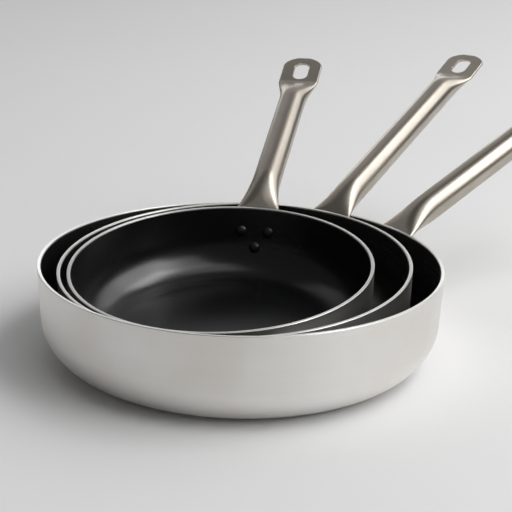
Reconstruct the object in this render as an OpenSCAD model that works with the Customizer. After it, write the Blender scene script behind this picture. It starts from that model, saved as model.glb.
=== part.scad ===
// Nest of three omelette pans: spun aluminium bodies, non-stick linings and
// tubular stainless handles, each held by three rivets.
// The origin is on the table under the middle of the large pan, +Z is up and
// the large pan's handle points along +X.

/* [Large pan] */
// Rim diameter
large_rim_d = 320; // [305:1:360]
// Height of the rim over the table
large_height = 75; // [70:1:90]
// Length of the handle from the wall to the tip
large_handle_len = 292; // [200:1:300]
// Rise of the handle above the rim's plane, in degrees
large_rise_angle = 23; // [16:0.5:30]

/* [Middle pan] */
// How much smaller the rim is than the large pan's
middle_step = 40; // [36:1:60]
// Height of the rim over the base
middle_height = 64; // [60:1:70]
// Length of the handle from the wall to the tip
middle_handle_len = 293; // [200:1:300]
// Rise of the handle above the rim's plane, in degrees
middle_rise_angle = 16.5; // [14:0.5:24]
// Turn of the handle from the large pan's handle, in degrees
middle_turn_angle = 19; // [16:0.5:30]

/* [Small pan] */
// How much smaller the rim is than the middle pan's
small_step = 40; // [30:1:60]
// Height of the rim over the base
small_height = 61; // [56:1:64]
// Length of the handle from the wall to the tip
small_handle_len = 233; // [180:1:260]
// Rise of the handle above the rim's plane, in degrees
small_rise_angle = 18.5; // [15:0.5:26]
// Turn of the handle from the middle pan's handle, in degrees
small_turn_angle = 20.5; // [18:0.5:30]

/* [Body and lining] */
// Thickness of the aluminium
wall_t = 2.7; // [2:0.1:4]
// Thickness of the non-stick lining
lining_t = 0.3; // [0.2:0.05:0.6]
// Outer radius of the curve between base and wall
corner_r = 35; // [28:1:40]
// Outward lean of the wall, in degrees
draft = 2.4; // [1:0.1:4]
// Bevel on the rim's two edges
rim_bevel = 0.4; // [0.2:0.1:0.8]
// Bare height between the rim and the lining's edge
bare_rim = 1; // [0.5:0.1:3]

/* [Handle] */
// Diameter of the tubular grip
grip_d = 25; // [22:0.5:28]
// Wall of the tube
tube_t = 1.5; // [1:0.1:2]
// Width of the flattened root
root_w = 38; // [34:0.5:40]
// Width of the flattened tip
tip_w = 38.5; // [32:0.5:40]
// Length over which the root opens into the round grip
root_len = 44; // [38:1:70]
// Length over which the grip closes into the flat tip
neck_len = 36; // [25:1:45]
// Length over which the neck's faces ease into the flat tip
neck_ease = 4; // [2:0.5:8]
// Length of the flat tip
tip_len = 38; // [35:1:42]
// Extra rise of the flat tip, in degrees
tip_kick_angle = 3; // [0:1:15]
// Radius of the tip's rounded end
tip_end_r = 24; // [22:0.5:40]
// Width of the hanging hole
hole_w = 14.5; // [9:0.5:16]
// Length of the hanging hole
hole_len = 26; // [16.5:0.5:27]
// Distance from the hanging hole's middle to the end of the tip
hole_end = 21.5; // [17:0.5:22]

/* [Root and rivets] */
// Depth of the root's bend below the rim
root_drop = 17; // [14:0.5:17.5]
// Radius of the root's bend
root_bend_r = 12; // [10:0.5:14]
// Distance between the root's bend and the upper rivets' formed heads
bend_edge = 0.5; // [0.5:0.1:3]
// Distance between the formed heads and the flange's sides
side_edge = 3; // [2:0.5:6]
// Height from the lower rivet to the upper ones
rivet_rise = 15; // [12:0.5:16]
// Distance between the lower formed head and the flange's end
end_edge = 5.5; // [4:0.5:8]
// Diameter of the rivets' shanks
shank_d = 5; // [4:0.1:6]
// Diameter of the domed heads inside the pan
head_d = 10; // [8:0.2:11]
// Height of the domed heads
head_h = 2.6; // [1.5:0.1:3.5]
// Diameter of the formed heads on the flange
tail_d = 8; // [7:0.2:9]
// Height of the formed heads
tail_h = 1.8; // [1:0.1:2.5]

/* [Nest] */
// Least gap between the middle pan's rim and the large pan's wall
middle_gap = 11.5; // [8:0.5:12]
// Direction in which the middle pan lies off-centre, from its handle, in degrees
middle_lean_angle = 146; // [140:1:180]
// Least gap between the small pan's rim and the middle pan's wall
small_gap = 2.2; // [2:0.2:8]
// Direction in which the small pan lies off-centre, from its handle, in degrees
small_lean_angle = 146; // [140:1:180]

/* [Fits] */
// Clearance where one pan rests on another
rest_gap = 0.3; // [0.2:0.05:0.6]
// Clearance between a flange or a rivet's head and its seat
seat_gap = 0.1; // [0.05:0.05:0.2]
// Clearance around a rivet's shank
shank_gap = 0.1; // [0.05:0.05:0.2]

/* [Hidden] */
$fn = 96;

// A pan's own sizes: rim radius, height, handle length and handle rise
LARGE = [large_rim_d / 2, large_height, large_handle_len, large_rise_angle];
MIDDLE = [
    large_rim_d / 2 - middle_step / 2, middle_height, middle_handle_len, middle_rise_angle
];
SMALL = [
    MIDDLE[0] - small_step / 2, small_height, small_handle_len, small_rise_angle
];
function rim_r(pan) = pan[0];
function height(pan) = pan[1];
function handle_len(pan) = pan[2];
function rise(pan) = pan[3];

// Radius of the flat base, where the corner's curve starts
function base_r(pan) =
    rim_r(pan) - (height(pan) - corner_r) * tan(draft) - corner_r / cos(draft);

// Inward lean of the wall's outside at a height over the base: the draft on
// the straight wall, growing along the corner's curve
function wall_lean(pan, z) = z >= corner_top() ? draft : asin((corner_r - z) / corner_r);
// Height at which the straight wall leaves the corner's curve
function corner_top() = corner_r * (1 - sin(draft));
// Radius of the wall's outside at a height over the base
function wall_r(pan, z) =
    z >= corner_top()
    ? rim_r(pan) - (height(pan) - z) * tan(draft)
    : base_r(pan) + corner_r * cos(wall_lean(pan, z));

// Profile of a shell whose outside lies inset inside the pan's outside
module shell_profile(pan, inset, t, top) {
    r_out = corner_r - inset;
    wall_top = rim_r(pan) - (height(pan) - top) * tan(draft) - inset / cos(draft);
    wall_run = t / cos(draft);
    reach = 2 * corner_r;
    translate([0, inset]) square([base_r(pan), t]);
    translate([base_r(pan), corner_r]) intersection() {
        difference() {
            circle(r_out);
            circle(r_out - t);
        }
        polygon([
            [0, 0],
            [0, -reach],
            [reach, -reach],
            [reach, -reach * tan(draft)]
        ]);
    }
    polygon([
        [base_r(pan) + (r_out - t) * cos(draft), corner_r - (r_out - t) * sin(draft)],
        [base_r(pan) + r_out * cos(draft), corner_r - r_out * sin(draft)],
        [wall_top, top],
        [wall_top - wall_run, top]
    ]);
}

// Flattened tube: both skins pressed together
flat_t = 2 * tube_t;
// Thickness of wall and lining together
shell_t = wall_t + lining_t;
// Radius of the bores for the rivets
bore_r = shank_d / 2 + shank_gap;
// Sides of a handle's section
section_sides = 28;
// Depth of the two upper rivets below the rim, and the distance between them
rivet_drop = root_drop + bend_edge + tail_d / 2;
rivet_span = root_w - tail_d - 2 * side_edge;
// Length of the flange below the bend
flange_len = rivet_drop - root_drop + rivet_rise + tail_d / 2 + end_edge;
// How far the first and last hollow sections stay from the flattened ends
closed_len = 6;

// Openness of the tube, from 0 where it is flat to 1 where it is round, at a
// distance from the flat end; it begins gently where there is an ease
function open_share(run, whole, ease) =
    let (eased = norm([max(0, run), ease]) - ease)
    sin(90 * min(1, eased / (norm([whole, ease]) - ease)));
// Depth of a shallow dome of a chord's half width on a curve of radius r
function sagitta(half, r) = r - sqrt(r * r - half * half);

// Wall of a pan along the flange: [radius, height, lean] at a distance below
// the root's bend, first down the straight wall and then round the corner
function along_wall(pan, down) =
    let (
        start = height(pan) - root_drop,
        straight = max(0, (start - corner_top()) / cos(draft)),
        past = down - straight,
        lean = past <= 0 ? draft : draft + past / corner_r * 180 / PI,
        z = past <= 0 ? start - down * cos(draft) : corner_r * (1 - sin(lean))
    )
    [wall_r(pan, z), z, lean];

// A station of a handle's path: [distance from the pan's axis, height,
// direction of the path, section width, section height, wrap round the wall,
// openness of the tube]
function flange_station(pan, down, w) =
    let (
        wall = along_wall(pan, down),
        off = seat_gap + flat_t / 2
    )
    [
        wall[0] + off * cos(wall[2]),
        wall[1] - off * sin(wall[2]),
        90 - wall[2],
        w,
        flat_t,
        1,
        0
    ];

// The bend from the wall to the handle's rise, share running from 0 to 1
function bend_station(pan, share) =
    let (
        start = flange_station(pan, 0, root_w),
        lean = draft + share * (90 - draft - rise(pan)),
        cx = start[0] + root_bend_r * cos(draft),
        cz = start[1] - root_bend_r * sin(draft)
    )
    [
        cx - root_bend_r * cos(lean),
        cz + root_bend_r * sin(lean),
        90 - lean,
        root_w,
        flat_t,
        1 - share,
        0
    ];

// The straight tube, at a distance along it from the end of the bend
function tube_len(pan) = handle_len(pan) - tip_len;
function tube_station(pan, run) =
    let (
        from = bend_station(pan, 1),
        left = tube_len(pan) - run,
        root = open_share(run, root_len, 0),
        neck = open_share(left, neck_len, neck_ease),
        flat_w = root < neck ? root_w : tip_w,
        share = min(root, neck)
    )
    [
        from[0] + run * cos(rise(pan)),
        from[1] + run * sin(rise(pan)),
        rise(pan),
        flat_w + (grip_d - flat_w) * share,
        flat_t + (grip_d - flat_t) * share,
        0,
        share
    ];

// The flat tip, at a distance from its end; its sides meet the rounded end
// in soft corners
function tip_half(from_end) =
    let (
        side = tip_w / 2,
        arc = sqrt(max(0.01, 2 * tip_end_r * from_end - from_end * from_end)),
        soft = 16
    )
    pow(pow(side, -soft) + pow(arc, -soft), -1 / soft);
function tip_station(pan, from_end) =
    let (
        from = tube_station(pan, tube_len(pan)),
        run = tip_len - from_end,
        slope = rise(pan) + tip_kick_angle
    )
    [
        from[0] + run * cos(slope),
        from[1] + run * sin(slope),
        slope,
        from_end >= tip_end_r / 2 ? tip_w : 2 * tip_half(from_end),
        flat_t,
        0,
        0
    ];

// The whole path, from the flange's lower end to the tip
function handle_path(pan) =
    let (
        shoulder = rivet_drop - root_drop + head_d / 2,
        round_len = flange_len - shoulder,
        tip_arc = tip_end_r / 2
    )
    concat(
        [for (a = [84:-12:0]) flange_station(pan, shoulder + round_len * sin(a), root_w * cos(a))],
        [for (down = [shoulder / 2, 0]) flange_station(pan, down, root_w)],
        [for (i = [1:5]) bend_station(pan, i / 5)],
        [for (i = [1:9]) tube_station(pan, root_len * pow(i / 9, 1.2))],
        [for (i = [0:7]) tube_station(pan, tube_len(pan) - neck_len * pow(1 - i / 7, 1.3))],
        [for (i = [7:-1:0]) tip_station(pan, tip_arc * pow((i + 0.6) / 7.6, 2))]
    );

// The tube's hollow, clear of both flattened ends
function hollow_path(pan) =
    let (whole = tube_len(pan))
    concat(
        [for (i = [0:6]) tube_station(pan, closed_len + (root_len - closed_len) * i / 6)],
        [for (i = [6:-1:0]) tube_station(pan, whole - closed_len - (neck_len - closed_len) * i / 6)]
    );

// One ring of points round a station: a slot shape where the tube is pressed
// flat, an ellipse where it opens and a circle where it is round. Its edge is
// the width of one round side, from half the height to half the width.
function ring(st, inset, n) =
    let (
        a = st[3] / 2 - inset,
        b = st[4] / 2 - inset,
        edge = b + (a - b) * (1 - pow(1 - st[6], 4))
    )
    [
        for (i = [0:n - 1])
        let (
            turn = 360 * (i + 0.5) / n,
            y = a * cos(turn),
            into_end = max(0, abs(y) - a + edge) / edge,
            up = sign(sin(turn)) * b * sqrt(max(0, 1 - into_end * into_end)),
            x = st[0] - up * sin(st[2]),
            z = st[1] + up * cos(st[2]),
            wrap = st[5] * (x - sqrt(x * x - y * y))
        )
        [x - wrap, y, z]
    ];

// Closed skin through the rings of a path
module loft(path, inset, n) {
    last = len(path) - 1;
    half = n / 2 - 2;
    points = [for (st = path) each ring(st, inset, n)];
    sides = [
        for (k = [0:last - 1], i = [0:n - 1])
        let (
            j = (i + 1) % n,
            a = k * n + i,
            b = k * n + j,
            c = a + n,
            d = b + n
        )
        each [[a, c, d], [a, d, b]]
    ];
    first_cap = [
        for (i = [0:half])
        each [[i, i + 1, n - 2 - i], [i, n - 2 - i, n - 1 - i]]
    ];
    last_cap = [
        for (f = first_cap)
        [f[2] + last * n, f[1] + last * n, f[0] + last * n]
    ];
    polyhedron(points, concat(sides, first_cap, last_cap));
}

// Places its children at a rivet, with +X out of the wall from its outside:
// side is -1 or 1 for the upper rivets and 0 for the lower one
module at_rivet(pan, side) {
    z = height(pan) - rivet_drop - (side == 0 ? rivet_rise : 0);
    rotate([0, 0, side * asin(rivet_span / 2 / wall_r(pan, z))])
        translate([wall_r(pan, z), 0, z])
            rotate([0, wall_lean(pan, z), 0])
                children();
}

module rivet_bores(pan) {
    depth = 2 * (shell_t + flat_t);
    for (side = [-1:1])
        at_rivet(pan, side)
            rotate([0, 90, 0])
                cylinder(r = bore_r, h = depth, center = true);
}

module body(pan) {
    color([0.78, 0.78, 0.77])
    difference() {
        rotate_extrude() difference() {
            shell_profile(pan, 0, wall_t, height(pan));
            for (inset = [0, wall_t / cos(draft)])
                translate([rim_r(pan) - inset, height(pan)])
                    rotate(45)
                        square(rim_bevel * sqrt(2), center = true);
        }
        rivet_bores(pan);
    }
}

module lining(pan) {
    color([0.06, 0.06, 0.065])
    difference() {
        rotate_extrude() shell_profile(pan, wall_t, lining_t, height(pan) - bare_rim);
        rivet_bores(pan);
    }
}

module hanging_hole(pan) {
    middle = tip_station(pan, hole_end);
    reach = (hole_len - hole_w) / 2;
    depth = 3 * flat_t;
    translate([middle[0], 0, middle[1]])
        rotate([0, -middle[2], 0]) {
            for (side = [-1, 1])
                translate([side * reach, 0, 0])
                    cylinder(d = hole_w, h = depth, center = true);
            cube([2 * reach, hole_w, depth], center = true);
        }
}

module handle(pan) {
    color([0.66, 0.63, 0.6])
    difference() {
        loft(handle_path(pan), 0, section_sides);
        loft(hollow_path(pan), tube_t, section_sides / 2);
        rivet_bores(pan);
        hanging_hole(pan);
    }
}

// Shallow dome standing on z = 0
module dome(d, h) {
    r = (d * d / 4 + h * h) / (2 * h);
    rotate_extrude() intersection() {
        translate([0, h - r]) circle(r);
        square([d / 2, h]);
    }
}

module rivet(pan, side) {
    z = height(pan) - rivet_drop - (side == 0 ? rivet_rise : 0);
    hollow_r = z - head_d / 2 > corner_top() ? wall_r(pan, z) - shell_t : corner_r - shell_t;
    head_at = shell_t + seat_gap + sagitta(head_d / 2, hollow_r);
    tail_at = flat_t + 2 * seat_gap;
    color([0.1, 0.1, 0.1])
    at_rivet(pan, side)
        rotate([0, 90, 0]) {
            translate([0, 0, -head_at])
                cylinder(d = shank_d, h = head_at + tail_at);
            translate([0, 0, tail_at])
                dome(tail_d, tail_h);
            translate([0, 0, -head_at])
                mirror([0, 0, 1])
                    dome(head_d, head_h);
        }
}

// How an inner pan settles in an outer one: its corner stands on the lining at
// the front, and its handle lies on the outer pan's rim. The way off-centre is
// what the least gap between rim and wall leaves.
function inner_rim_r(pan) = rim_r(pan) - shell_t / cos(draft);
function off_centre(outer, pan, gap) = inner_rim_r(outer) - rim_r(pan) - gap;
// Depth of the handle's underside below the rim's plane, at a distance from
// the pan's axis
function under_depth(pan, x) =
    height(pan) - lookup(x, [
        for (run = [0:2:root_len])
        let (st = tube_station(pan, run))
        [
            st[0] + st[4] / 2 * sin(st[2]),
            st[1] - st[4] / 2 * cos(st[2])
        ]
    ]);
// Distance from the inner pan's axis to the outer rim, along the handle
function rim_reach(outer, pan, gap, lean) =
    let (off = off_centre(outer, pan, gap))
    sqrt(pow(inner_rim_r(outer), 2) - pow(off * sin(lean), 2)) - off * cos(lean);
// Tilt at which corner and handle both rest: the lever sin, the upright cos
// and the step between the two rests give one equation, refined for the tilt.
// A pan whose handle clears the rim stands flat.
function tilt(outer, pan, gap, lean, guess = 3, rounds = 3) =
    let (
        flat_x = rim_reach(outer, pan, gap, lean),
        x = (flat_x - under_depth(pan, flat_x) * sin(guess)) / cos(guess),
        lever = base_r(pan) + x,
        upright = height(pan) - corner_r - under_depth(pan, x),
        step = height(outer) - shell_t - corner_r,
        angle = max(0, asin(step / norm([lever, upright])) - atan2(upright, lever))
    )
    rounds == 0 ? angle : tilt(outer, pan, gap, lean, angle, rounds - 1);
// Height of the inner rim's middle over the outer pan's base
function rest_height(pan, angle) =
    shell_t + rest_gap + corner_r * (1 - cos(angle))
    + base_r(pan) * sin(angle) + height(pan) * cos(angle);

module nested(outer, pan, gap, lean, turn) {
    angle = tilt(outer, pan, gap, lean);
    off = off_centre(outer, pan, gap);
    rotate([0, 0, turn])
        translate([off * cos(lean), off * sin(lean), rest_height(pan, angle)])
            rotate([0, -angle, 0])
                translate([0, 0, -height(pan)])
                    children();
}
module in_large() {
    nested(LARGE, MIDDLE, middle_gap, middle_lean_angle, middle_turn_angle) children();
}
module in_middle() {
    in_large() nested(MIDDLE, SMALL, small_gap, small_lean_angle, small_turn_angle) children();
}

body(LARGE);  // large_body
lining(LARGE);  // large_lining
handle(LARGE);  // large_handle
rivet(LARGE, 1);  // large_rivet_left
rivet(LARGE, -1);  // large_rivet_right
rivet(LARGE, 0);  // large_rivet_lower
in_large() body(MIDDLE);  // middle_body
in_large() lining(MIDDLE);  // middle_lining
in_large() handle(MIDDLE);  // middle_handle
in_large() rivet(MIDDLE, 1);  // middle_rivet_left
in_large() rivet(MIDDLE, -1);  // middle_rivet_right
in_large() rivet(MIDDLE, 0);  // middle_rivet_lower
in_middle() body(SMALL);  // small_body
in_middle() lining(SMALL);  // small_lining
in_middle() handle(SMALL);  // small_handle
in_middle() rivet(SMALL, 1);  // small_rivet_left
in_middle() rivet(SMALL, -1);  // small_rivet_right
in_middle() rivet(SMALL, 0);  // small_rivet_lower
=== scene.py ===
"""Finishes for a nest of three omelette pans: spun aluminium bodies, black
non-stick linings, tubular steel handles and black rivets."""

import math

import bmesh
import bpy
from bpy.props import (
    EnumProperty,
    FloatProperty,
    FloatVectorProperty,
    IntProperty,
    PointerProperty,
)
from bpy.types import Operator, Panel, PropertyGroup
from mathutils import Matrix, Vector


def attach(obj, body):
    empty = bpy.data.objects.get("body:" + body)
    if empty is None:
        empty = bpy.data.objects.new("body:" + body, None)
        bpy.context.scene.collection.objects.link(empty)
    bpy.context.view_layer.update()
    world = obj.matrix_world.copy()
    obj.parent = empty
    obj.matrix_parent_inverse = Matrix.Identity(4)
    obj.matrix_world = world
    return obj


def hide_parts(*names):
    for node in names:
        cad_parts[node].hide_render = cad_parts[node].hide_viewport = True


bl_info = {
    "name": "Omelette Pan Nest",
    "version": (1, 0, 0),
    "blender": (4, 5, 0),
    "location": "View3D > Sidebar > Pans",
    "description": "Spun pan bodies, non-stick linings, tubular handles and rivets",
    "category": "Add Mesh",
}

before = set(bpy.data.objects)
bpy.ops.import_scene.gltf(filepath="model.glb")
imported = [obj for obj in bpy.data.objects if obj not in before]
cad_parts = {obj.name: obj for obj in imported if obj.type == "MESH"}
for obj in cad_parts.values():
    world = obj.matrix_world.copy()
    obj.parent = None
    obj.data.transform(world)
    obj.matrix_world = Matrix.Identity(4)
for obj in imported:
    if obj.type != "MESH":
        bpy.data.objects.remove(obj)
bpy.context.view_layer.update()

MM = 0.001
QUARTER = math.tau / 4
PANS = ("large", "middle", "small")
PAN_ITEMS = [(pan, pan.capitalize(), "The " + pan + " pan") for pan in PANS]
BODY_OF = {pan: pan + "_pan" for pan in PANS}


def length(name, description, default):
    """A size in metres"""
    return FloatProperty(name=name, description=description, default=default, unit="LENGTH")


def lengths(name, description, default):
    """A size in metres for each pan"""
    return FloatVectorProperty(
        name=name, description=description, default=default, size=len(PANS), unit="LENGTH",
    )


def angles(name, description, degrees):
    """An angle for each pan"""
    return FloatVectorProperty(
        name=name, description=description, default=[math.radians(a) for a in degrees],
        size=len(PANS), subtype="EULER",
    )


def colour(name, description, default):
    """A colour, as red, green and blue"""
    return FloatVectorProperty(
        name=name, description=description, default=default, size=3, subtype="COLOR",
    )


def roughness(name, description, default):
    """A roughness, from mirror to matt"""
    return FloatProperty(
        name=name, description=description, default=default, min=0, max=1,
    )


class NestSizes(PropertyGroup):
    """Sizes that differ from pan to pan, from the large one to the small one"""

    rim_d: lengths("Rims", "Rim diameters", (0.320, 0.280, 0.240))
    height: lengths("Heights", "Heights of the rims over the bases", (0.075, 0.064, 0.061))
    handle_len: lengths(
        "Handles", "Lengths of the handles past their bends", (0.292, 0.293, 0.233),
    )
    rise: angles("Rise", "Rise of each handle over its rim's plane", (23, 16.5, 18.5))
    turn: angles("Turn", "Turn of each handle from the next larger pan's", (0, 19, 20.5))
    gap: lengths("Gaps", "Least gap between a rim and the wall around it", (0, 0.0115, 0.0022))
    lean: FloatProperty(
        name="Lean", description="Direction off-centre of the inner pans, from their handles",
        default=math.radians(146), subtype="ANGLE",
    )
    rest_gap: length("Rest gap", "Clearance where one pan rests on another", 0.0003)


class ShellSizes(PropertyGroup):
    """The spun body and its lining"""

    wall_t: length("Wall", "Thickness of the aluminium", 0.0027)
    lining_t: length("Lining", "Thickness of the lining", 0.0003)
    corner_r: length("Corner", "Outer radius between base and wall", 0.035)
    draft: FloatProperty(
        name="Draft", description="Outward lean of the wall",
        default=math.radians(2.4), subtype="ANGLE",
    )
    rim_round: length("Rim", "Rounding of the rim's two edges", 0.0004)
    bare_rim: length("Bare rim", "Bare height between rim and lining", 0.001)
    steps: IntProperty(
        name="Steps", description="Faces around a shell", default=288, min=48, max=512,
    )


class HandleSizes(PropertyGroup):
    """The tubular handle"""

    grip_d: length("Grip", "Diameter of the round grip", 0.025)
    flat_t: length("Flat", "Thickness where the tube is pressed flat", 0.003)
    root_w: length("Root", "Width of the flattened root", 0.038)
    tip_w: length("Tip", "Width of the flattened tip", 0.0385)
    root_len: length("Root's length", "Length over which the root opens", 0.044)
    neck_len: length("Neck", "Length over which the grip closes", 0.036)
    ease: length("Ease", "Length over which the neck's faces ease into the flat tip", 0.004)
    tip_len: length("Tip's length", "Length of the flat tip", 0.038)
    tip_kick: FloatProperty(
        name="Kick", description="Extra rise of the tip", default=math.radians(3),
        subtype="ANGLE",
    )
    tip_end_r: length("Tip's end", "Radius of the rounded end", 0.024)
    hole_w: length("Hole", "Width of the hanging hole", 0.0145)
    hole_len: length("Hole's length", "Length of the hanging hole", 0.026)
    hole_end: length("Hole's place", "From the hole's middle to the tip's end", 0.0215)
    root_drop: length("Drop", "Depth of the root's bend below the rim", 0.017)
    bend_r: length("Bend", "Radius of the root's bend", 0.012)
    flange_len: length("Flange", "Length of the flange on the wall", 0.029)
    seat_gap: length("Seat gap", "Clearance of flange and rivet heads on their seats", 0.0001)


class RivetSizes(PropertyGroup):
    """The three rivets of a handle"""

    drop: length("Drop", "Depth of the upper rivets below the rim", 0.0215)
    span: length("Span", "Distance between the upper rivets", 0.024)
    lower: length("Lower", "Depth of the lower rivet below the upper ones", 0.015)
    shank_d: length("Shank", "Diameter of the shank", 0.005)
    head_d: length("Head", "Diameter of the head inside the pan", 0.010)
    head_h: length("Head's height", "Height of the head inside the pan", 0.0026)
    tail_d: length("Formed head", "Diameter of the head on the flange", 0.008)
    tail_h: length("Formed head's height", "Height of the head on the flange", 0.0018)


class Finishes(PropertyGroup):
    """Colours and roughness of the finishes"""

    aluminium: colour("Aluminium", "Colour of the spun wall", (0.825, 0.815, 0.79))
    aluminium_rough: roughness("Wall's roughness", "Roughness of the spun wall", 0.33)
    rim: colour("Rim", "Colour of the turned rim", (0.88, 0.87, 0.85))
    rim_rough: roughness("Rim's roughness", "Roughness of the turned rim", 0.3)
    lining: colour("Lining", "Colour of the non-stick lining", (0.004, 0.0043, 0.0046))
    lining_rough: roughness("Lining's roughness", "Roughness of the lining", 0.22)
    steel: colour("Steel", "Colour of the handles", (0.5, 0.455, 0.395))
    steel_rough: roughness("Steel's roughness", "Roughness of the handles", 0.29)
    rivet: colour("Rivets", "Colour of the rivets", (0.01, 0.01, 0.011))
    rivet_rough: roughness("Rivets' roughness", "Roughness of the rivets", 0.3)
    floor: colour("Floor", "Colour of the floor", (0.91, 0.91, 0.91))


# The searches that seat a pan: the tilt that one starts from, and the rounds of both
FIRST_TILT = math.radians(3)
TILT_ROUNDS = 4
DEPTH_ROUNDS = 40

# How tightly the tip's rounded end runs into its straight sides
TIP_BLEND = 16

# How soon an opening section turns from a slot into an ellipse
ELLIPSE_POWER = 4


class Pan:
    """One pan's own sizes, in metres, and its place in the nest"""

    def __init__(self, pan):
        scene = bpy.context.scene
        nest = scene.pan_nest
        shell = scene.pan_shell
        i = PANS.index(pan)
        self.name = pan
        self.index = i
        self.nest = nest
        self.shell = shell
        self.grip = scene.pan_handle
        self.rivets = scene.pan_rivets
        self.rim_r = nest.rim_d[i] / 2
        self.height = nest.height[i]
        self.handle_len = nest.handle_len[i]
        self.rise = nest.rise[i]
        self.corner_top = shell.corner_r * (1 - math.sin(shell.draft))
        self.base_r = (
            self.rim_r
            - (self.height - shell.corner_r) * math.tan(shell.draft)
            - shell.corner_r / math.cos(shell.draft)
        )
        self.shell_t = shell.wall_t + shell.lining_t

    def wall_lean(self, z):
        """Lean of the wall's outside at a height over the base"""
        shell = self.shell
        if z >= self.corner_top:
            return shell.draft
        return math.asin((shell.corner_r - z) / shell.corner_r)

    def wall_r(self, z):
        """Radius of the wall's outside at a height over the base"""
        shell = self.shell
        if z >= self.corner_top:
            return self.rim_r - (self.height - z) * math.tan(shell.draft)
        return self.base_r + shell.corner_r * math.cos(self.wall_lean(z))

    def placement(self):
        """Matrix from the pan's own frame to the nest's frame"""
        if self.index == 0:
            return Matrix.Identity(4)
        outer = Pan(PANS[self.index - 1])
        nest = self.nest
        inner_rim = outer.rim_r - self.shell_t / math.cos(self.shell.draft)
        off = inner_rim - self.rim_r - nest.gap[self.index]
        along = off * math.cos(nest.lean)
        across = off * math.sin(nest.lean)
        angle = self.tilt(outer, math.sqrt(inner_rim ** 2 - across ** 2) - along)
        rest = (
            self.shell_t
            + nest.rest_gap
            + self.shell.corner_r * (1 - math.cos(angle))
            + self.base_r * math.sin(angle)
            + self.height * math.cos(angle)
        )
        return (
            outer.placement()
            @ Matrix.Rotation(nest.turn[self.index], 4, "Z")
            @ Matrix.Translation((along, across, rest))
            @ Matrix.Rotation(-angle, 4, "Y")
            @ Matrix.Translation((0, 0, -self.height))
        )

    def tilt(self, outer, reach):
        """Tilt at which the corner stands on the lining and the handle on the rim"""
        angle = FIRST_TILT
        for _ in range(TILT_ROUNDS):
            x = (reach - self.under_depth(reach) * math.sin(angle)) / math.cos(angle)
            depth = self.under_depth(x)
            lever = self.base_r + x
            upright = self.height - self.shell.corner_r - depth
            step = outer.height - self.shell_t - self.shell.corner_r
            angle = math.asin(step / math.hypot(lever, upright)) - math.atan2(upright, lever)
        return angle

    def under_depth(self, x):
        """Depth of the handle's underside below the rim's plane"""
        low, high = 0, self.grip.root_len
        for _ in range(DEPTH_ROUNDS):
            run = (low + high) / 2
            at = self.tube_station(run)
            if at.x + at.h / 2 * math.sin(at.slope) < x:
                low = run
            else:
                high = run
        return self.height - (at.z - at.h / 2 * math.cos(at.slope))

    def flange_station(self, down, width):
        """Station of the flange that lies on the wall, down from the bend"""
        shell = self.shell
        start = self.height - self.grip.root_drop
        straight = max(0, (start - self.corner_top) / math.cos(shell.draft))
        past = max(0, down - straight)
        lean = shell.draft + past / shell.corner_r
        z = start - down * math.cos(shell.draft)
        if past > 0:
            z = shell.corner_r * (1 - math.sin(lean))
        off = self.grip.seat_gap + self.grip.flat_t / 2
        return Station(
            self.wall_r(z) + off * math.cos(lean),
            z - off * math.sin(lean),
            QUARTER - lean,
            width,
            self.grip.flat_t,
            wrap=1,
        )

    def bend_station(self, share):
        """Station of the bend from the wall to the handle's rise"""
        grip = self.grip
        draft = self.shell.draft
        start = self.flange_station(0, grip.root_w)
        lean = draft + share * (QUARTER - draft - self.rise)
        centre_x = start.x + grip.bend_r * math.cos(draft)
        centre_z = start.z - grip.bend_r * math.sin(draft)
        return Station(
            centre_x - grip.bend_r * math.cos(lean),
            centre_z + grip.bend_r * math.sin(lean),
            QUARTER - lean,
            grip.root_w,
            grip.flat_t,
            wrap=1 - share,
        )

    def tube_len(self):
        """Length of the straight tube, from the bend to the flat tip"""
        return self.handle_len - self.grip.tip_len

    def tube_station(self, run):
        """Station of the straight tube, a distance past the bend"""
        grip = self.grip
        start = self.bend_station(1)
        root = openness(run, grip.root_len, 0)
        neck = openness(self.tube_len() - run, grip.neck_len, grip.ease)
        flat_w = grip.root_w if root < neck else grip.tip_w
        share = min(root, neck)
        return Station(
            start.x + run * math.cos(self.rise),
            start.z + run * math.sin(self.rise),
            self.rise,
            flat_w + (grip.grip_d - flat_w) * share,
            grip.flat_t + (grip.grip_d - grip.flat_t) * share,
            share=share,
        )

    def tip_station(self, from_end):
        """Station of the flat tip, a distance from its end"""
        grip = self.grip
        start = self.tube_station(self.tube_len())
        run = grip.tip_len - from_end
        slope = self.rise + grip.tip_kick
        width = grip.tip_w
        if from_end < grip.tip_end_r / 2:
            half = math.sqrt(2 * grip.tip_end_r * from_end - from_end ** 2)
            width = 2 * softly_less(grip.tip_w / 2, half)
        return Station(
            start.x + run * math.cos(slope),
            start.z + run * math.sin(slope),
            slope,
            width,
            grip.flat_t,
        )


def openness(run, whole, ease):
    """Share from 0 to 1 to which a tube is open, a distance from its flat end"""
    eased = math.hypot(max(0, run), ease) - ease
    return math.sin(QUARTER * min(1, eased / (math.hypot(whole, ease) - ease)))


def softly_less(a, b):
    """The smaller of two numbers, eased where they are nearly equal"""
    return (a ** -TIP_BLEND + b ** -TIP_BLEND) ** (-1 / TIP_BLEND)


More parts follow.
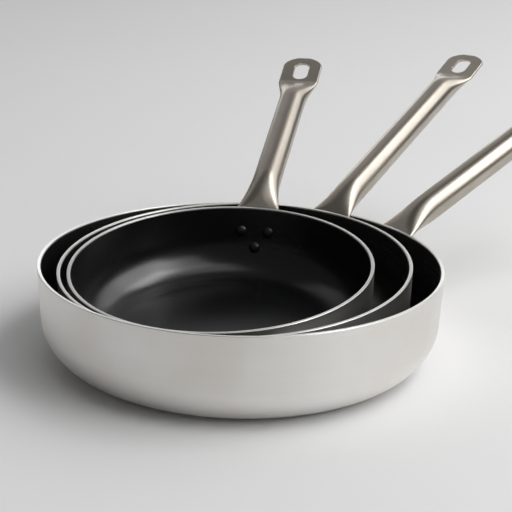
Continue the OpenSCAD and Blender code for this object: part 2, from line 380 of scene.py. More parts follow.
class Station:
    """A place on a handle's path: x and z in its plane, slope, width, height, how
    far the section wraps round the wall, and how far the tube is open"""

    def __init__(self, x, z, slope, w, h, wrap=0, share=0):
        self.x = x
        self.z = z
        self.slope = slope
        self.w = w
        self.h = h
        self.wrap = wrap
        self.edge = h / 2 + (w - h) / 2 * (1 - (1 - share) ** ELLIPSE_POWER)

    def point(self, share):
        """Point at a share of the turn round the section: across and up"""
        return section_point(self.w, self.h, self.edge, share)

    def ring(self, count):
        """Points round the section, in the pan's own frame"""
        points = []
        for i in range(count):
            y, up = self.point((i + 0.5) / count)
            x = self.x - up * math.sin(self.slope)
            z = self.z + up * math.cos(self.slope)
            wrap = self.wrap * (x - math.sqrt(x * x - y * y))
            points.append(Vector((x - wrap, y, z)))
        return points


def section_point(w, h, edge, share):
    """Point at a share of the turn round a section with flat faces and round sides:
    edge is the width of a round side, from half of h in a slot to half of w in an
    ellipse"""
    turn = math.tau * share
    y = w / 2 * math.cos(turn)
    into = max(0, abs(y) - w / 2 + edge) / edge
    return y, math.copysign(h / 2 * math.sqrt(max(0, 1 - into * into)), math.sin(turn))


class Tree:
    """Short hand for the nodes of a tree"""

    def __init__(self, tree):
        self.tree = tree

    def plug(self, socket, value):
        """Links a socket to another one, or sets its own value"""
        if isinstance(value, bpy.types.NodeSocket):
            self.tree.links.new(value, socket)
        else:
            socket.default_value = value

    def add(self, kind, inputs=None, **settings):
        """A node with its settings and inputs, which are values or sockets"""
        node = self.tree.nodes.new(kind)
        for key, value in settings.items():
            setattr(node, key, value)
        for key, value in (inputs or {}).items():
            self.plug(node.inputs[key], value)
        return node

    def math(self, operation, a, b=0.0):
        """A number worked out from one or two others"""
        return self.add("ShaderNodeMath", {0: a, 1: b}, operation=operation).outputs[0]

    def plus(self, base, value, gain):
        """base + value * gain"""
        return self.math("ADD", base, self.math("MULTIPLY", value, gain))

    def blend(self, share, a, b):
        """Mixes two numbers by a share"""
        inputs = {"Factor": share, 2: a, 3: b}
        return self.add("ShaderNodeMix", inputs, data_type="FLOAT").outputs[0]

    def tint(self, share, a, b):
        """Mixes two colours by a share"""
        inputs = {"Factor": share, 6: a, 7: b}
        return self.add("ShaderNodeMix", inputs, data_type="RGBA").outputs[2]

    def range(self, value, low, high, to_high=1.0):
        """Maps the numbers from low to high smoothly to those from 0 to to_high"""
        inputs = {"Value": value, 1: low, 2: high, 3: 0.0, 4: to_high}
        return self.add(
            "ShaderNodeMapRange", inputs, interpolation_type="SMOOTHSTEP"
        ).outputs["Result"]

    def noise(self, where, scale, detail, roughness=0.5, distortion=0.0):
        """Noise at a place, as a number"""
        return self.add("ShaderNodeTexNoise", {
            "Vector": where, "Scale": scale, "Detail": detail, "Roughness": roughness,
            "Distortion": distortion,
        }).outputs[0]

    def attribute(self, name, output):
        """An attribute of the mesh"""
        return self.add("ShaderNodeAttribute", attribute_name=name).outputs[output]

    def group(self, group, inputs):
        """The outputs of a group that is placed in this tree"""
        return self.add("ShaderNodeGroup", inputs, node_tree=group).outputs


def new_tree(name, kind, inputs, outputs):
    """A tree with named inputs and outputs: (name, type) or (name, type, default)"""
    tree = bpy.data.node_groups.new(name, kind)
    for in_out, sockets in (("INPUT", inputs), ("OUTPUT", outputs)):
        for label, holds, *default in sockets:
            socket = tree.interface.new_socket(
                label, in_out=in_out, socket_type="NodeSocket" + holds
            )
            if default:
                socket.default_value = default[0]
    t = Tree(tree)
    return t, t.add("NodeGroupInput").outputs, t.add("NodeGroupOutput").inputs


def made_once(store, name):
    """Makes a tree or material at the first call, and finds it again at the others"""
    def wrap(make):
        def find_or_make():
            return getattr(bpy.data, store).get(name) or make(name)
        return find_or_make
    return wrap


# Geometry trees

# Points that lie closer than this are one
TOUCHING = 0.001 * MM


def finish_tree(t, geometry, material, out):
    """Ends a tree in plain geometry that carries its material"""
    smooth = t.add("GeometryNodeSetShadeSmooth", {"Geometry": geometry})
    real = t.add("GeometryNodeRealizeInstances", {"Geometry": smooth.outputs[0]})
    painted = t.add(
        "GeometryNodeSetMaterial", {"Geometry": real.outputs[0], "Material": material}
    )
    t.plug(out["Geometry"], painted.outputs[0])


@made_once("node_groups", "Spun shell")
def spinning_tree(name):
    """Spins a profile round the pan's axis"""
    t, given, out = new_tree(
        name,
        "GeometryNodeTree",
        [
            ("Geometry", "Geometry"),
            ("Path radius", "Float", 0.1),
            ("Steps", "Int", 96),
            ("Material", "Material"),
        ],
        [("Geometry", "Geometry")],
    )
    profile = t.add("GeometryNodeMeshToCurve", {"Mesh": given["Geometry"]})
    path = t.add(
        "GeometryNodeCurvePrimitiveCircle",
        {"Resolution": given["Steps"], "Radius": given["Path radius"]},
    )
    upright = t.add("GeometryNodeSetCurveNormal", {"Curve": path.outputs[0]}, mode="Z_UP")
    skin = t.add(
        "GeometryNodeCurveToMesh",
        {"Curve": upright.outputs[0], "Profile Curve": profile.outputs[0]},
    )
    closed = t.add(
        "GeometryNodeMergeByDistance", {"Geometry": skin.outputs[0], "Distance": TOUCHING}
    )
    where = t.add("GeometryNodeInputPosition")
    kept = t.add(
        "GeometryNodeStoreNamedAttribute",
        {"Geometry": closed.outputs[0], "Name": "pan_at", "Value": where.outputs[0]},
        data_type="FLOAT_VECTOR",
        domain="POINT",
    )
    finish_tree(t, kept.outputs[0], given["Material"], out)
    return t.tree


@made_once("node_groups", "Rivets on a flange")
def riveting_tree(name):
    """Sets a copy of a rivet at each point, turned along the point's axis"""
    t, given, out = new_tree(
        name,
        "GeometryNodeTree",
        [("Geometry", "Geometry"), ("Rivet", "Object"), ("Material", "Material")],
        [("Geometry", "Geometry")],
    )
    rivet = t.add("GeometryNodeObjectInfo", {"Object": given["Rivet"]})
    axis = t.add(
        "GeometryNodeInputNamedAttribute", {"Name": "axis"}, data_type="FLOAT_VECTOR"
    )
    turned = t.add(
        "FunctionNodeAlignRotationToVector", {"Vector": axis.outputs[0]}, axis="Z"
    )
    points = t.add("GeometryNodeMeshToPoints", {"Mesh": given["Geometry"]})
    copies = t.add("GeometryNodeInstanceOnPoints", {
        "Points": points.outputs[0],
        "Instance": rivet.outputs["Geometry"],
        "Rotation": turned.outputs[0],
    })
    finish_tree(t, copies.outputs[0], given["Material"], out)
    return t.tree


def grown(obj, tree, name, values):
    """A plain mesh of what a geometry tree makes of obj, which is deleted"""
    modifier = obj.modifiers.new(tree.name, "NODES")
    modifier.node_group = tree
    for item in tree.interface.items_tree:
        if item.item_type == "SOCKET" and item.name in values:
            modifier[item.identifier] = values[item.name]
    return evaluated(obj, name)


# Steps that every operator shares

def in_scene(name, data):
    """An object in the scene that holds some data"""
    obj = bpy.data.objects.new(name, data)
    bpy.context.scene.collection.objects.link(obj)
    return obj


def new_object(name, verts, edges=(), faces=()):
    """A mesh object in the scene"""
    mesh = bpy.data.meshes.new(name)
    mesh.from_pydata(verts, edges, faces)
    return in_scene(name, mesh)


def set_attribute(obj, name, kind, field, values):
    """Gives each point of a mesh object its value of a named attribute"""
    kept = obj.data.attributes.new(name, kind, "POINT")
    kept.data.foreach_set(field, values)


def evaluated(obj, name):
    """A plain mesh of what the modifiers make of obj, which is deleted"""
    bpy.context.view_layer.update()
    graph = bpy.context.evaluated_depsgraph_get()
    mesh = bpy.data.meshes.new_from_object(obj.evaluated_get(graph))
    mesh.name = name
    bpy.data.objects.remove(obj)
    return in_scene(name, mesh)


def outward(obj):
    """Turns all faces of a closed piece outwards"""
    bm = bmesh.new()
    bm.from_mesh(obj.data)
    bmesh.ops.recalc_face_normals(bm, faces=bm.faces)
    bm.to_mesh(obj.data)
    bm.free()


def hand_over(obj, pan, slot, *nodes):
    """Puts a finished piece into its pan's place, hangs it on its body and hides the CAD nodes
    that it stands for
    """
    outward(obj)
    obj.data.transform(pan.placement())
    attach(obj, BODY_OF[pan.name])
    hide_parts(*nodes)


def arc(cx, cz, r, start, end, count):
    """Points of a circle's arc from one angle to another"""
    points = []
    for i in range(count + 1):
        angle = start + (end - start) * i / count
        points.append((cx + r * math.cos(angle), cz + r * math.sin(angle)))
    return points


def steps_between(a, b, count):
    """Points from a towards b, with a and without b"""
    points = []
    for i in range(count):
        share = i / count
        points.append((a[0] + (b[0] - a[0]) * share, a[1] + (b[1] - a[1]) * share))
    return points


def shares(count):
    """How much of a whole is done after each of count equal steps"""
    return [i / count for i in range(1, count + 1)]


def ring_faces(rings, sides):
    """Faces from ring to ring of points, where each ring has so many sides"""
    faces = []
    for low in range(0, (rings - 1) * sides, sides):
        for i in range(sides):
            j = (i + 1) % sides
            faces.append((low + i, low + j, low + sides + j, low + sides + i))
    return faces


def spin(name, profile, rim_from, steps, material):
    """Spins a profile of (radius, height) points; those past rim_from are rim"""
    path_r = max(r for r, z in profile)
    verts = [(r - path_r, -z, 0) for r, z in profile]
    edges = [(i, i + 1) for i in range(len(profile) - 1)]
    obj = new_object(name + ".profile", verts, edges)
    set_attribute(obj, "rim", "FLOAT", "value", [float(z > rim_from) for r, z in profile])
    return grown(obj, spinning_tree(), name, {
        "Path radius": path_r, "Steps": steps, "Material": material,
    })


# Materials

# Depth of the finest marks
SCRATCH = 0.1 * MM

# What a film of handling leaves of the aluminium's red, green and blue
WARM_FILM = (1.0, 0.975, 0.95)

# Streaks in a metre of the handles' steel, along and across the handle
STREAKS_ALONG = 40.0
STREAKS_ACROSS = 2500.0


@made_once("node_groups", "Turned lines")
def turned_lines(name):
    """Fine rings that a lathe or a polishing wheel leaves round an axis"""
    t, given, out = new_tree(
        name,
        "ShaderNodeTree",
        [("At", "Vector"), ("Lines per metre", "Float", 1500.0)],
        [("Height", "Float"), ("Bands", "Float")],
    )
    x, y, z = t.add("ShaderNodeSeparateXYZ", {0: given["At"]}).outputs
    square = t.math("ADD", t.math("MULTIPLY", x, x), t.math("MULTIPLY", y, y))
    radius = t.math("SQRT", square)
    run = t.math("ADD", radius, z)
    where = t.add("ShaderNodeCombineXYZ", {
        0: t.math("MULTIPLY", run, given["Lines per metre"]),
        1: t.math("DIVIDE", x, radius),
        2: t.math("DIVIDE", y, radius),
    }).outputs[0]
    t.plug(out["Height"], t.noise(where, 1.0, 3.0))
    t.plug(out["Bands"], t.noise(where, 0.07, 2.0, roughness=0.6))
    return t.tree


@made_once("node_groups", "Cloudy film")
def cloudy_film(name):
    """Soft patches that handling and polishing leave on a surface"""
    t, given, out = new_tree(
        name,
        "ShaderNodeTree",
        [
            ("At", "Vector"),
            ("Size", "Float", 0.05),
            ("Low", "Float", 0.4),
            ("High", "Float", 0.65),
        ],
        [("Mask", "Float")],
    )
    scale = t.math("DIVIDE", 1.0, given["Size"])
    noise = t.noise(given["At"], scale, 3.0, roughness=0.55, distortion=0.4)
    t.plug(out["Mask"], t.range(noise, given["Low"], given["High"]))
    return t.tree


@made_once("node_groups", "Fine grain")
def fine_grain(name):
    """Grain of a blasted, tumbled or sprayed surface"""
    t, given, out = new_tree(
        name,
        "ShaderNodeTree",
        [("At", "Vector"), ("Size", "Float", 0.0005)],
        [("Height", "Float")],
    )
    scale = t.math("DIVIDE", 1.0, given["Size"])
    t.plug(out["Height"], t.noise(given["At"], scale, 2.0, roughness=0.6))
    return t.tree


def new_material(name, plain=None):
    """A material, its tree and its shader, which has plain values on some sockets"""
    material = bpy.data.materials.new(name)
    material.use_nodes = True
    material.node_tree.nodes.clear()
    t = Tree(material.node_tree)
    shader = t.add("ShaderNodeBsdfPrincipled", plain)
    t.add("ShaderNodeOutputMaterial", {"Surface": shader.outputs[0]})
    return material, t, shader


def finish_shader(t, shader, colour, rough, height, strength, depth=SCRATCH):
    """Plugs colour, roughness and a bump of that height into a material's shader"""
    bump = t.add("ShaderNodeBump", {"Strength": strength, "Distance": depth, "Height": height})
    t.plug(shader.inputs["Base Color"], colour)
    t.plug(shader.inputs["Roughness"], rough)
    t.plug(shader.inputs["Normal"], bump.outputs[0])


def opaque(colour, gain=1.0):
    """A colour, lighter or darker by a gain, that lets nothing through"""
    return [min(1.0, c * gain) for c in colour] + [1.0]


@made_once("materials", "spun_aluminium")
def spun_aluminium(name):
    """Satin spun wall with fine rings, and a brighter turned rim"""
    looks = bpy.context.scene.pan_finishes
    material, t, shader = new_material(
        name, {"Metallic": 1.0, "Anisotropic": 0.8, "Anisotropic Rotation": 0.25}
    )
    at = t.attribute("pan_at", "Vector")
    rim = t.attribute("rim", "Fac")
    lines = t.group(turned_lines(), {"At": at, "Lines per metre": 2600.0})
    film = t.group(cloudy_film(), {"At": at, "Size": 0.07, "Low": 0.42, "High": 0.68})
    warm = opaque(c * left for c, left in zip(looks.aluminium, WARM_FILM))
    wall = t.tint(film["Mask"], opaque(looks.aluminium), warm)
    bands = t.range(lines["Bands"], 0.35, 0.7, to_high=0.07)
    wall = t.tint(bands, wall, opaque(looks.aluminium, 0.82))
    colour = t.tint(rim, wall, opaque(looks.rim))
    rough = t.plus(looks.aluminium_rough - 0.04, film["Mask"], 0.05)
    rough = t.plus(rough, lines["Bands"], 0.05)
    rough = t.blend(rim, rough, looks.rim_rough)
    finish_shader(t, shader, colour, rough, lines["Height"], strength=0.12)
    return material


@made_once("materials", "sprayed_non_stick")
def sprayed_non_stick(name):
    """Sprayed black coating, smooth with a faint grain"""
    looks = bpy.context.scene.pan_finishes
    material, t, shader = new_material(name, {"IOR": 1.72})
    at = t.attribute("pan_at", "Vector")
    grain = t.group(fine_grain(), {"At": at, "Size": 0.0007})
    film = t.group(cloudy_film(), {"At": at, "Size": 0.09, "Low": 0.35, "High": 0.7})
    lines = t.group(turned_lines(), {"At": at, "Lines per metre": 900.0})
    colour = t.tint(film["Mask"], opaque(looks.lining), opaque(looks.lining, 1.5))
    rough = t.plus(looks.lining_rough, film["Mask"], 0.04)
    rough = t.plus(rough, lines["Bands"], 0.03)
    finish_shader(t, shader, colour, rough, grain["Height"], strength=0.1)
    return material


@made_once("materials", "satin_steel")
def satin_steel(name):
    """Warm satin stainless steel, polished along the handle"""
    looks = bpy.context.scene.pan_finishes
    material, t, shader = new_material(name, {"Metallic": 1.0})
    at = t.attribute("handle_at", "Vector")
    along, across, _ = t.add("ShaderNodeSeparateXYZ", {0: at}).outputs
    grain = t.group(fine_grain(), {"At": at, "Size": 0.0004})
    film = t.group(cloudy_film(), {"At": at, "Size": 0.03, "Low": 0.4, "High": 0.7})
    drawn = t.add("ShaderNodeCombineXYZ", {
        0: t.math("MULTIPLY", along, STREAKS_ALONG),
        1: t.math("MULTIPLY", across, STREAKS_ACROSS),
    }).outputs[0]
    streaks = t.noise(drawn, 1.0, 2.0)
    colour = t.tint(film["Mask"], opaque(looks.steel), opaque(looks.steel, 0.9))
    rough = t.plus(looks.steel_rough - 0.03, film["Mask"], 0.04)
    rough = t.plus(rough, streaks, 0.06)
    height = t.math("ADD", grain["Height"], streaks)
    finish_shader(t, shader, colour, rough, height, strength=0.08)
    return material


@made_once("materials", "black_rivet")
def black_rivet(name):
    """Black coated rivet"""
    looks = bpy.context.scene.pan_finishes
    material, t, shader = new_material(name)
    at = t.add("ShaderNodeTexCoord").outputs["Object"]
    grain = t.group(fine_grain(), {"At": at, "Size": 0.0006})
    film = t.group(cloudy_film(), {"At": at, "Size": 0.008})
    colour = t.tint(film["Mask"], opaque(looks.rivet), opaque(looks.rivet, 2.0))
    rough = t.plus(looks.rivet_rough, film["Mask"], 0.1)
    finish_shader(t, shader, colour, rough, grain["Height"], strength=0.15)
    return material


@made_once("materials", "studio_paper")
def studio_paper(name):
    """Pale, matt paper of the floor"""
    looks = bpy.context.scene.pan_finishes
    material, t, shader = new_material(name)
    at = t.add("ShaderNodeTexCoord").outputs["Object"]
    grain = t.group(fine_grain(), {"At": at, "Size": 0.002})
    film = t.group(cloudy_film(), {"At": at, "Size": 0.6, "Low": 0.3, "High": 0.7})
    colour = t.tint(film["Mask"], opaque(looks.floor), opaque(looks.floor, 0.99))
    finish_shader(
        t, shader, colour, rough=0.75, height=grain["Height"], strength=0.03, depth=0.5 * MM
    )
    return material


# Operators

# Turn between two faces above which the edge between them stays sharp
SHARP_EDGE = math.radians(40)
SHARP_TUBE_EDGE = math.radians(28)


class PANS_OT_body(Operator):
    """Spins a pan's aluminium body"""

    bl_idname = "pans.body"
    bl_label = "Body"
    pan: EnumProperty(name="Pan", items=PAN_ITEMS)

    def execute(self, context):
        pan = Pan(self.pan)
        rim_from = pan.height - 2 * pan.shell.rim_round
        body = spin(
            self.pan + "_shell", body_profile(pan), rim_from, pan.shell.steps,
            spun_aluminium(),
        )
        hand_over(body, pan, "aluminium", self.pan + "_body")
        return {"FINISHED"}


class PANS_OT_lining(Operator):
    """Spins the lining inside a pan's body"""

    bl_idname = "pans.lining"
    bl_label = "Lining"
    pan: EnumProperty(name="Pan", items=PAN_ITEMS)

    def execute(self, context):
        pan = Pan(self.pan)
        lining = spin(
            self.pan + "_coating", lining_profile(pan), pan.height, pan.shell.steps,
            sprayed_non_stick(),
        )
        lining.data.set_sharp_from_angle(angle=SHARP_EDGE)
        hand_over(lining, pan, "non_stick", self.pan + "_lining")
        return {"FINISHED"}


class PANS_OT_handle(Operator):
    """Draws a pan's tubular handle from flange to tip"""

    bl_idname = "pans.handle"
    bl_label = "Handle"
    pan: EnumProperty(name="Pan", items=PAN_ITEMS)

    def execute(self, context):
        pan = Pan(self.pan)
        tube = handle_skin(pan)
        outward(tube)
        cutter = hole_cutter(pan)
        cut = tube.modifiers.new("Hanging hole", "BOOLEAN")
        cut.object = cutter
        cut.operation = "DIFFERENCE"
        cut.solver = "EXACT"
        tube = evaluated(tube, self.pan + "_tube")
        bpy.data.objects.remove(cutter)
        tube.data.materials.clear()
        tube.data.materials.append(satin_steel())
        tube.data.shade_smooth()
        tube.data.set_sharp_from_angle(angle=SHARP_TUBE_EDGE)
        hand_over(tube, pan, "steel", self.pan + "_handle")
        return {"FINISHED"}


class PANS_OT_rivets(Operator):
    """Sets the three rivets of a pan's handle"""

    bl_idname = "pans.rivets"
    bl_label = "Rivets"
    pan: EnumProperty(name="Pan", items=PAN_ITEMS)

    def execute(self, context):
        pan = Pan(self.pan)
        rivet = rivet_solid(pan)
        rivets = grown(rivet_spots(pan), riveting_tree(), self.pan + "_rivets", {
            "Rivet": rivet, "Material": black_rivet(),
        })
        bpy.data.objects.remove(rivet)
        rivets.data.set_sharp_from_angle(angle=SHARP_EDGE)
        names = [self.pan + "_rivet_" + side for side in ("left", "right", "lower")]
        hand_over(rivets, pan, "rivet", *names)
        return {"FINISHED"}


# Shapes of the pieces

# Outlines of body and lining: how many steps each stretch takes
BASE_STEPS = 8
FLOOR_STEPS = 10
CORNER_STEPS = 24
WALL_STEPS = 6
RIM_STEPS = 5
HIDDEN_STEPS = 4
HIDDEN_CORNER_STEPS = 16

# How many times shorter a wall's last step is than its others
LAST_STEP = 12


def wall_steps(a, b):
    """Points from a towards b, with one close to b that keeps the wall's shading even"""
    evenly = steps_between(a, b, WALL_STEPS)
    return evenly + steps_between(a, b, LAST_STEP * WALL_STEPS)[-1:]


def body_profile(pan):
    """The body's outline from the middle of its base, over the rim, back inside"""
    shell = pan.shell
    lean = shell.draft
    r = shell.corner_r
    inner = r - shell.wall_t
    soft = shell.rim_round
    outside = steps_between((0, 0), (pan.base_r, 0), BASE_STEPS)
    outside += arc(pan.base_r, r, r, -QUARTER, -lean, CORNER_STEPS)
    low = (pan.rim_r - soft * math.tan(lean), pan.height - soft)
    outside += wall_steps(outside[-1], low)[1:]
    outside += arc(low[0] - soft, low[1], soft, 0, QUARTER, RIM_STEPS)
    rim_in = pan.rim_r - shell.wall_t / math.cos(lean)
    inside = arc(rim_in + soft, low[1], soft, QUARTER, 2 * QUARTER, RIM_STEPS)
    foot = (pan.base_r + inner * math.cos(lean), r - inner * math.sin(lean))
    inside += wall_steps(foot, inside[-1])[:0:-1]
    inside += arc(pan.base_r, r, inner, -lean, -QUARTER, HIDDEN_CORNER_STEPS)
    middle = (0, shell.wall_t)
    inside += steps_between(inside[-1], middle, HIDDEN_STEPS)[1:]
    return outside + inside + [middle]


def lining_profile(pan):
    """The lining's outline, from the floor's middle inside, up, and back below"""
    shell = pan.shell
    lean = shell.draft
    r = shell.corner_r
    outer = r - shell.wall_t
    inner = outer - shell.lining_t
    top = pan.height - shell.bare_rim
    edge = pan.wall_r(top) - shell.wall_t / math.cos(lean)
    inner_edge = (edge - shell.lining_t / math.cos(lean), top)
    inside = steps_between((0, pan.shell_t), (pan.base_r, pan.shell_t), FLOOR_STEPS)
    inside += arc(pan.base_r, r, inner, -QUARTER, -lean, CORNER_STEPS)
    inside += steps_between(inside[-1], inner_edge, WALL_STEPS)[1:]
    foot = (pan.base_r + outer * math.cos(lean), r - outer * math.sin(lean))
    outside = steps_between((edge, top), foot, HIDDEN_STEPS)
    outside += arc(pan.base_r, r, outer, -lean, -QUARTER, CORNER_STEPS)
    return inside + [inner_edge] + outside + [(0, shell.wall_t)]


# Handle's path: how many steps each stretch takes, from the flange's end to the tip's.
# The tip's are 1 mm each, up to those that get shorter towards its end
FLANGE_END_STEPS = 26
FLANGE_STEPS = 8
BEND_STEPS = 16
ROOT_STEPS = 40
GRIP_STEPS = 24
NECK_STEPS = 36
TIP_STEPS = 19
TIP_END_STEPS = 40

# How much the steps of a rounded end get shorter towards it
FLANGE_END_POWER = 1.6
TIP_END_POWER = 1.8

HANDLE_SIDES = 112


def handle_path(pan):
    """Stations from the flange's lower end to the tip, close together at both"""
    grip = pan.grip
    rivets = pan.rivets
    flange_start = rivets.drop - grip.root_drop + rivets.head_d / 2
    round_len = grip.flange_len - flange_start
    path = []
    for share in shares(FLANGE_END_STEPS):
        angle = QUARTER * (1 - share ** FLANGE_END_POWER)
        down = round_len * math.sin(angle)
        station = pan.flange_station(flange_start + down, grip.root_w * math.cos(angle))
        station.h = rounded_end(grip.flat_t, round_len - down)
        path.append(station)
    path += [
        pan.flange_station(flange_start * (1 - share), grip.root_w)
        for share in shares(FLANGE_STEPS)
    ]
    path += [pan.bend_station(share) for share in shares(BEND_STEPS)]
    path += [pan.tube_station(grip.root_len * share) for share in shares(ROOT_STEPS)]
    round_end = pan.tube_len() - grip.neck_len
    plain = round_end - grip.root_len
    path += [pan.tube_station(grip.root_len + plain * share) for share in shares(GRIP_STEPS)]
    path += [pan.tube_station(round_end + grip.neck_len * share) for share in shares(NECK_STEPS)]
    path += [pan.tip_station(grip.tip_len - i * MM) for i in range(1, TIP_STEPS + 1)]
    last = grip.tip_len - TIP_STEPS * MM
    for share in shares(TIP_END_STEPS)[:-1]:
        from_end = last * (1 - share) ** TIP_END_POWER
        station = pan.tip_station(from_end)
        station.h = rounded_end(grip.flat_t, from_end)
        path.append(station)
    return path


def rounded_end(thick, from_end):
    """Thickness of a plate whose end is round, a distance from that end"""
    r = thick / 2
    if from_end >= r:
        return thick
    return 2 * math.sqrt(r * r - (r - from_end) ** 2)


def handle_skin(pan):
    """Closed skin through the rings of the handle's path"""
    sides = HANDLE_SIDES
    path = handle_path(pan)
    verts = []
    at = []
    run = 0
    for i, station in enumerate(path):
        if i:
            run += math.hypot(station.x - path[i - 1].x, station.z - path[i - 1].z)
        verts += station.ring(sides)
        for j in range(sides):
            at += (run, *station.point((j + 0.5) / sides))
    faces = ring_faces(len(path), sides)
    faces.append(tuple(range(sides)))
    faces.append(tuple(range(len(verts) - 1, len(verts) - sides - 1, -1)))
    obj = new_object(pan.name + "_tube.raw", verts, faces=faces)
    set_attribute(obj, "handle_at", "FLOAT_VECTOR", "vector", at)
    return obj


# How far the hanging hole's edges are rounded, and the share of it halfway round them
HOLE_EDGE = 0.45 * MM
HALFWAY = 0.3

HOLE_SIDES = 64


def hole_cutter(pan):
    """Cutter of the hanging hole, wider at both faces so that its edges are soft"""
    grip = pan.grip
    middle = pan.tip_station(grip.hole_end)
    half = grip.flat_t / 2
    soft = HOLE_EDGE
    upper = [
        (half - soft, 0),
        (half - HALFWAY * soft, HALFWAY * soft),
        (half, soft),
        (2 * half, soft + half),
    ]
    levels = [(-up, grow) for up, grow in reversed(upper)] + upper
    along = Vector((math.cos(middle.slope), 0, math.sin(middle.slope)))
    across = Vector((0, 1, 0))
    normal = Vector((-math.sin(middle.slope), 0, math.cos(middle.slope)))
    centre = Vector((middle.x, 0, middle.z))
    verts = []
    for up, grow in levels:
        w = grip.hole_w + 2 * grow
        for i in range(HOLE_SIDES):
            share = (i + 0.5) / HOLE_SIDES
            x, y = section_point(grip.hole_len + 2 * grow, w, w / 2, share)
            verts.append(centre + along * x + across * y + normal * up)
    faces = ring_faces(len(levels), HOLE_SIDES)
    faces.append(tuple(range(HOLE_SIDES))[::-1])
    faces.append(tuple(range(len(verts) - HOLE_SIDES, len(verts))))
    cutter = new_object("hole_cutter", verts, faces=faces)
    outward(cutter)
    return cutter


RIVET_SIDES = 48
DOME_STEPS = 12

# How far the curved lining stands back from the middle of a rivet's flat head
HOLLOW = 0.1 * MM


def dome(d, h):
    """Points of a shallow dome from its edge to its top: (radius, height)"""
    r = (d * d / 4 + h * h) / (2 * h)
    edge = math.asin(d / 2 / r)
    return arc(0, h - r, r, QUARTER - edge, QUARTER, DOME_STEPS)


def rivet_solid(pan):
    """One rivet along +Z out of the wall, its wall face at z = 0"""
    rivets = pan.rivets
    grip = pan.grip
    head_at = pan.shell_t + grip.seat_gap + HOLLOW
    tail_at = grip.flat_t + 2 * grip.seat_gap
    head = [(r, -head_at - z) for r, z in dome(rivets.head_d, rivets.head_h)]
    tail = [(r, tail_at + z) for r, z in dome(rivets.tail_d, rivets.tail_h)]
    shank = rivets.shank_d / 2
    profile = head[::-1] + [(shank, -head_at), (shank, tail_at)] + tail
    rings = profile[1:-1]
    verts = []
    for r, z in rings:
        for i in range(RIVET_SIDES):
            angle = math.tau * i / RIVET_SIDES
            verts.append((r * math.cos(angle), r * math.sin(angle), z))
    low = len(verts)
    last_ring = low - RIVET_SIDES
    verts += [(0, 0, profile[0][1]), (0, 0, profile[-1][1])]
    faces = ring_faces(len(rings), RIVET_SIDES)
    for i in range(RIVET_SIDES):
        j = (i + 1) % RIVET_SIDES
        faces.append((low, j, i))
        faces.append((low + 1, last_ring + i, last_ring + j))
    return new_object("rivet", verts, faces=faces)


def rivet_spots(pan):
    """Points on the wall's outside where the rivets go, with their axes"""
    rivets = pan.rivets
    verts = []
    axes = []
    for side in (-1, 0, 1):
        z = pan.height - rivets.drop - (rivets.lower if side == 0 else 0)
        r = pan.wall_r(z)
        turn = side * math.asin(rivets.span / 2 / r)
        lean = pan.wall_lean(z)
        verts.append((r * math.cos(turn), r * math.sin(turn), z))
        out = math.cos(lean)
        axes += [out * math.cos(turn), out * math.sin(turn), -math.sin(lean)]
    spots = new_object("rivet_spots", verts)
    set_attribute(spots, "axis", "FLOAT_VECTOR", "vector", axes)
    return spots


# Stage

# The camera: its turn round the pans, how far it looks down and rolls, its distance
# from the middle of the large rim, its focal length in pixels, the picture's width and
# where the middle of the rim stands in it, in pixels, the sensor's width in mm, and the
# nearest place that it shows
VIEW_TURN = math.radians(38.1)
VIEW_DOWN = math.radians(18.94)
VIEW_ROLL = math.radians(-1.46)
VIEW_DISTANCE = 1.030
VIEW_FOCAL_PX = 1300
PICTURE_PX = 512
RIM_PX = (240.9, 259.1)
SENSOR = 36
NEAREST = 0.05

# Soft boxes, as seen from the pans: the direction in which each stands, its turn and
# rise, how wide and how high it looks, all in degrees, its distance and its brightness
SOFT_BOXES = {
    "key_wide": (5, 40, 76, 34, 3.4, 1.35),
    "key_core": (-12, 42, 50, 38, 3.4, 1.0),
    "key_front": (-45, 50, 36, 40, 3.4, 1.0),
    "key_top": (4, 62, 34, 14, 3.4, 4.2),
    "top_front": (-70, 76, 30, 24, 3.2, 0.7),
    "back_low": (85, 14, 60, 18, 6, 1.4),
    "back_high": (100, 44, 80, 34, 5, 0.33),
}
AIM = Vector((0, 0, 0.05))
WORLD_STRENGTH = 0.08
FLOOR_HALF = 10


def seen(right, away, up):
    """A direction or offset as the camera sees the floor: right, away and up"""
    turn = Matrix.Rotation(-VIEW_TURN, 3, "Z")
    return turn @ Vector((right, away, up))


def soft_box(name, turn, rise, wide, high, away, radiance):
    """Sets one of the soft boxes, aimed at the pans"""
    width, height = (2 * away * math.tan(math.radians(angle / 2)) for angle in (wide, high))
    light = bpy.data.lights.new(name, "AREA")
    light.shape = "RECTANGLE"
    light.size = width
    light.size_y = height
    light.energy = math.pi * width * height * radiance
    box = in_scene(name, light)
    level = away * math.cos(math.radians(rise))
    box.location = seen(
        level * math.cos(math.radians(turn)),
        level * math.sin(math.radians(turn)),
        away * math.sin(math.radians(rise)),
    )
    box.rotation_euler = (AIM - box.location).to_track_quat("-Z", "Y").to_euler()
    box.visible_camera = False


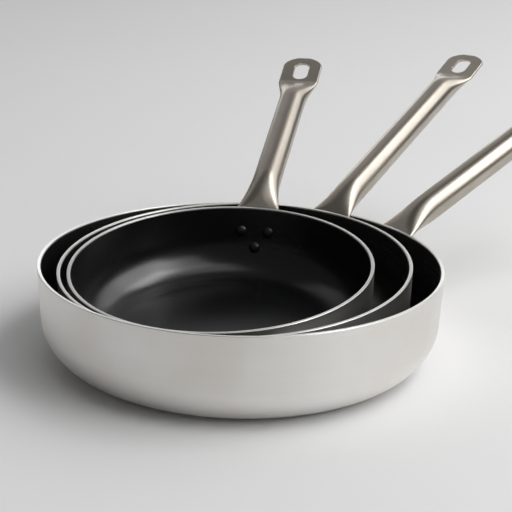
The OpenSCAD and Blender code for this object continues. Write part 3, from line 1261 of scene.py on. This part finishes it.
def make_camera():
    """The camera at the photograph's viewing angle"""
    down = VIEW_DOWN
    roll = VIEW_ROLL
    level = Vector((1, 0, 0))
    sunk = Vector((0, -math.sin(down), -math.cos(down)))
    forward = Vector((0, math.cos(down), -math.sin(down)))
    right = level * math.cos(roll) + sunk * math.sin(roll)
    below = sunk * math.cos(roll) - level * math.sin(roll)
    middle = (PICTURE_PX - 1) / 2
    shift = [(p - middle) * VIEW_DISTANCE / VIEW_FOCAL_PX for p in RIM_PX]
    offset = right * shift[0] + below * shift[1] + forward * VIEW_DISTANCE
    rim = Vector((0, 0, Pan("large").height))
    axes = Matrix((right, -below, -forward)).transposed()
    turn = Matrix.Rotation(-VIEW_TURN, 3, "Z")
    data = bpy.data.cameras.new("camera")
    data.sensor_width = SENSOR
    data.lens = VIEW_FOCAL_PX * SENSOR / PICTURE_PX
    data.clip_start = NEAREST
    data.dof.use_dof = False
    camera = in_scene("camera", data)
    camera.matrix_world = Matrix.Translation(turn @ -offset + rim) @ (turn @ axes).to_4x4()
    bpy.context.scene.camera = camera


def make_floor():
    """A square floor that lies straight before the camera"""
    corners = ((-1, -1), (1, -1), (1, 1), (-1, 1))
    verts = [seen(x * FLOOR_HALF, y * FLOOR_HALF, 0) for x, y in corners]
    floor = new_object("floor", verts, faces=[(0, 1, 2, 3)])
    floor.data.materials.append(studio_paper())


class PANS_OT_stage(Operator):
    """Sets floor, soft lights and camera"""

    bl_idname = "pans.stage"
    bl_label = "Stage"

    def execute(self, context):
        make_camera()
        make_floor()
        context.scene.view_settings.view_transform = "Standard"
        world = bpy.data.worlds.new("studio")
        context.scene.world = world
        world.use_nodes = True
        background = world.node_tree.nodes["Background"]
        background.inputs["Color"].default_value = (1, 1, 1, 1)
        background.inputs["Strength"].default_value = WORLD_STRENGTH
        for name, values in SOFT_BOXES.items():
            soft_box(name, *values)
        return {"FINISHED"}


class PANS_PT_panel(Panel):
    """Makes the pieces one by one"""

    bl_idname = "PANS_PT_panel"
    bl_label = "Omelette pans"
    bl_space_type = "VIEW_3D"
    bl_region_type = "UI"
    bl_category = "Pans"

    def draw(self, context):
        layout = self.layout
        for pan in PANS:
            column = layout.column(align=True)
            column.label(text=pan.capitalize() + " pan")
            for piece in ("body", "lining", "handle", "rivets"):
                column.operator("pans." + piece).pan = pan
        layout.operator("pans.stage")
        for group in SETTINGS:
            settings = getattr(context.scene, group)
            column = layout.column()
            for name in settings.bl_rna.properties.keys():
                if name not in ("rna_type", "name"):
                    column.prop(settings, name)


SETTINGS = {
    "pan_nest": NestSizes,
    "pan_shell": ShellSizes,
    "pan_handle": HandleSizes,
    "pan_rivets": RivetSizes,
    "pan_finishes": Finishes,
}
CLASSES = (
    *SETTINGS.values(),
    PANS_OT_body,
    PANS_OT_lining,
    PANS_OT_handle,
    PANS_OT_rivets,
    PANS_OT_stage,
    PANS_PT_panel,
)


def register():
    for made in CLASSES:
        bpy.utils.register_class(made)
    for name, made in SETTINGS.items():
        setattr(bpy.types.Scene, name, PointerProperty(type=made))


def unregister():
    for name in SETTINGS:
        delattr(bpy.types.Scene, name)
    for made in reversed(CLASSES):
        bpy.utils.unregister_class(made)


def main():
    """Makes the stage and the pans"""
    register()
    bpy.ops.pans.stage()
    for pan in PANS:
        bpy.ops.pans.body(pan=pan)
        bpy.ops.pans.lining(pan=pan)
        bpy.ops.pans.handle(pan=pan)
        bpy.ops.pans.rivets(pan=pan)


if __name__ == "__main__":
    main()
